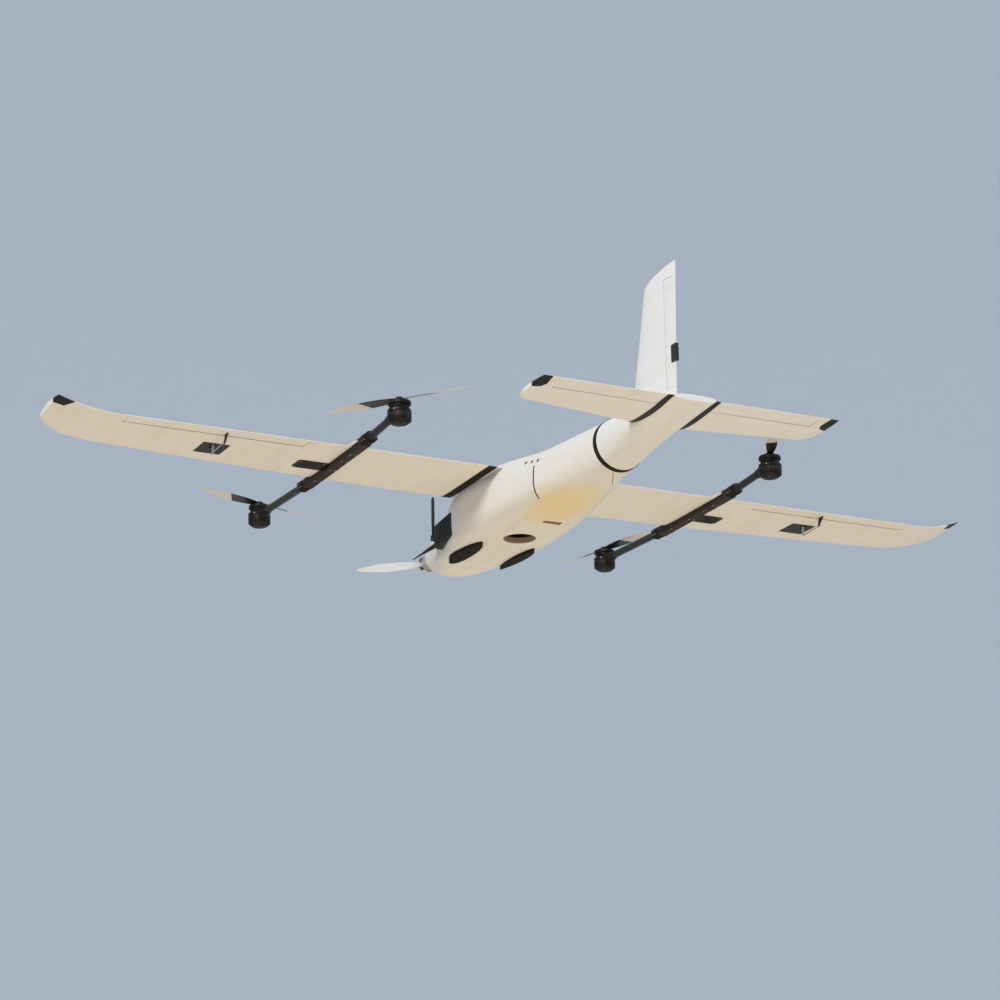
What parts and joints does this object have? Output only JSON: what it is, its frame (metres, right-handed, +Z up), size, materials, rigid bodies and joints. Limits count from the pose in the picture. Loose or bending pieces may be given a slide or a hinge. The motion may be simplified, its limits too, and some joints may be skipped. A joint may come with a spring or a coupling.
{
  "type": "fixed wing drone",
  "caption": "Electric survey aeroplane drone with a tractor propeller, and lift rotors on two under-wing booms so that it takes off and lands upright.",
  "frame": {"origin": "centre of the round camera port's mouth, flush with the flat belly", "axes": "+Z up, -Y towards the nose, +X towards the port wing tip"},
  "size_m": [2.4, 1.5147, 0.4333],
  "materials": {
    "white_foam": "matt painted moulded foam and composite skin",
    "black_plastic": "satin moulded plastic",
    "carbon_tube": "woven carbon tube, satin",
    "motor_metal": "machined, dark anodised",
    "prop_white": "glossy",
    "prop_black": "satin carbon and nylon, light tips",
    "tan_plastic": "brown moulded plastic",
    "plywood": "bare plywood",
    "battery_wrap": "shrink wrap",
    "steel": "drawn wire and fittings",
    "nylon_white": "moulded nylon"
  },
  "bodies": {
    "airframe": {"fuselage_shell": "white_foam", "tail_cone": "white_foam", "tail_joint_ring": "black_plastic", "camera_port_ring": "tan_plastic", "nose_motor": "motor_metal", "skid_port": "black_plastic", "skid_starboard": "black_plastic", "probe_housing": "black_plastic", "pitot_tube": "carbon_tube", "whip_antenna": "black_plastic", "battery_tray": "plywood", "battery": "battery_wrap", "autopilot": "black_plastic", "main_spar": "carbon_tube", "rear_spar": "carbon_tube", "root_rib_port": "black_plastic", "root_rib_starboard": "black_plastic", "wing_port": "white_foam", "wing_starboard": "white_foam", "wing_tip_caps": "black_plastic", "aileron_servo_port": "black_plastic", "aileron_servo_starboard": "black_plastic", "boom_saddle_port": "black_plastic", "boom_saddle_starboard": "black_plastic", "boom_arms_port": "carbon_tube", "boom_arms_starboard": "carbon_tube", "pod_front_port": "black_plastic", "pod_front_starboard": "black_plastic", "pod_rear_port": "black_plastic", "pod_rear_starboard": "black_plastic", "stab_port": "white_foam", "stab_starboard": "white_foam", "stab_root_fillets": "black_plastic", "fin": "white_foam", "rudder_servo": "black_plastic"},
    "nose_rotor": {"nose_bell": "black_plastic", "nose_propeller": "prop_white", "nose_spinner": "prop_white"},
    "lift_rotor_front_port": {"rotor_front_port": "prop_black"},
    "lift_rotor_front_starboard": {"rotor_front_starboard": "prop_black"},
    "lift_rotor_rear_port": {"rotor_rear_port": "prop_black"},
    "lift_rotor_rear_starboard": {"rotor_rear_starboard": "prop_black"},
    "aileron_port_surface": {"aileron_port": "white_foam", "aileron_horn_port": "black_plastic"},
    "aileron_starboard_surface": {"aileron_starboard": "white_foam", "aileron_horn_starboard": "black_plastic"},
    "aileron_port_arm": {"aileron_arm_port": "nylon_white"},
    "aileron_starboard_arm": {"aileron_arm_starboard": "nylon_white"},
    "aileron_port_rod": {"aileron_pushrod_port": "steel"},
    "aileron_starboard_rod": {"aileron_pushrod_starboard": "steel"},
    "elevators": {"elevator_port": "white_foam", "elevator_starboard": "white_foam", "elevator_rod": "carbon_tube"},
    "rudder_surface": {"rudder": "white_foam", "rudder_horn": "black_plastic"},
    "rudder_servo_arm": {"rudder_arm": "nylon_white"},
    "rudder_rod": {"rudder_pushrod": "steel"},
    "deck_hatch": {"top_hatch": "white_foam"},
    "belly_door": {"belly_hatch": "black_plastic"},
    "belly_door_latch": {"belly_latch": "tan_plastic"}
  },
  "joints": [
    {"name": "nose_prop_spin", "type": "hinge", "parent": "airframe", "child": "nose_rotor", "pos_m": [0, -0.53, 0.082], "axis": [0, -1, 0], "continuous": true},
    {"name": "lift_front_port_spin", "type": "hinge", "parent": "airframe", "child": "lift_rotor_front_port", "pos_m": [0.485, -0.469, 0.15], "axis": [0, 0, 1], "continuous": true},
    {"name": "lift_rear_port_spin", "type": "hinge", "parent": "airframe", "child": "lift_rotor_rear_port", "pos_m": [0.485, 0.371, 0.15], "axis": [0, 0, 1], "continuous": true},
    {"name": "lift_front_starboard_spin", "type": "hinge", "parent": "airframe", "child": "lift_rotor_front_starboard", "pos_m": [-0.485, -0.469, 0.15], "axis": [0, 0, 1], "continuous": true},
    {"name": "lift_rear_starboard_spin", "type": "hinge", "parent": "airframe", "child": "lift_rotor_rear_starboard", "pos_m": [-0.485, 0.371, 0.15], "axis": [0, 0, 1], "continuous": true},
    {"name": "aileron_port", "type": "hinge", "parent": "airframe", "child": "aileron_port_surface", "pos_m": [0.82, 0.087, 0.13065], "axis": [1, 0, 0], "range_deg": [-25, 25]},
    {"name": "aileron_port_arm_turn", "type": "hinge", "parent": "airframe", "child": "aileron_port_arm", "pos_m": [0.795, 0.012, 0.12796], "axis": [1, 0, 0], "range_deg": [-25, 25]},
    {"name": "aileron_port_rod_turn", "type": "hinge", "parent": "aileron_port_arm", "child": "aileron_port_rod", "pos_m": [0.795, 0.012, 0.10396], "axis": [1, 0, 0], "range_deg": [-25, 25]},
    {"name": "aileron_starboard", "type": "hinge", "parent": "airframe", "child": "aileron_starboard_surface", "pos_m": [-0.82, 0.087, 0.13065], "axis": [1, 0, 0], "range_deg": [-25, 25]},
    {"name": "aileron_starboard_arm_turn", "type": "hinge", "parent": "airframe", "child": "aileron_starboard_arm", "pos_m": [-0.795, 0.012, 0.12796], "axis": [1, 0, 0], "range_deg": [-25, 25]},
    {"name": "aileron_starboard_rod_turn", "type": "hinge", "parent": "aileron_starboard_arm", "child": "aileron_starboard_rod", "pos_m": [-0.795, 0.012, 0.10396], "axis": [1, 0, 0], "range_deg": [-25, 25]},
    {"name": "elevator", "type": "hinge", "parent": "airframe", "child": "elevators", "pos_m": [0, 0.808, 0.076], "axis": [1, 0, 0], "range_deg": [-25, 25]},
    {"name": "rudder", "type": "hinge", "parent": "airframe", "child": "rudder_surface", "pos_m": [0, 0.745, 0.26], "axis": [0, 0, 1], "range_deg": [-25, 25]},
    {"name": "rudder_arm_turn", "type": "hinge", "parent": "airframe", "child": "rudder_servo_arm", "pos_m": [0, 0.7, 0.21], "axis": [0, 0, 1], "range_deg": [-25, 25]},
    {"name": "rudder_rod_turn", "type": "hinge", "parent": "rudder_servo_arm", "child": "rudder_rod", "pos_m": [-0.02, 0.7, 0.21], "axis": [0, 0, 1], "range_deg": [-25, 25]},
    {"name": "deck_hatch_lift", "type": "slide", "parent": "airframe", "child": "deck_hatch", "axis": [0, 0, 1], "range_m": [0, 0.12]},
    {"name": "belly_door_drop", "type": "slide", "parent": "airframe", "child": "belly_door", "axis": [0, 0, -1], "range_m": [0, 0.05]},
    {"name": "belly_latch_slide", "type": "slide", "parent": "belly_door", "child": "belly_door_latch", "axis": [1, 0, 0], "range_m": [0, 0.008]}
  ],
  "couplings": [
    {"joint": "aileron_port_arm_turn", "follows": "aileron_port", "ratio": 1},
    {"joint": "aileron_port_rod_turn", "follows": "aileron_port", "ratio": -1},
    {"joint": "aileron_starboard_arm_turn", "follows": "aileron_starboard", "ratio": 1},
    {"joint": "aileron_starboard_rod_turn", "follows": "aileron_starboard", "ratio": -1},
    {"joint": "rudder_arm_turn", "follows": "rudder", "ratio": 1},
    {"joint": "rudder_rod_turn", "follows": "rudder", "ratio": -1}
  ]
}
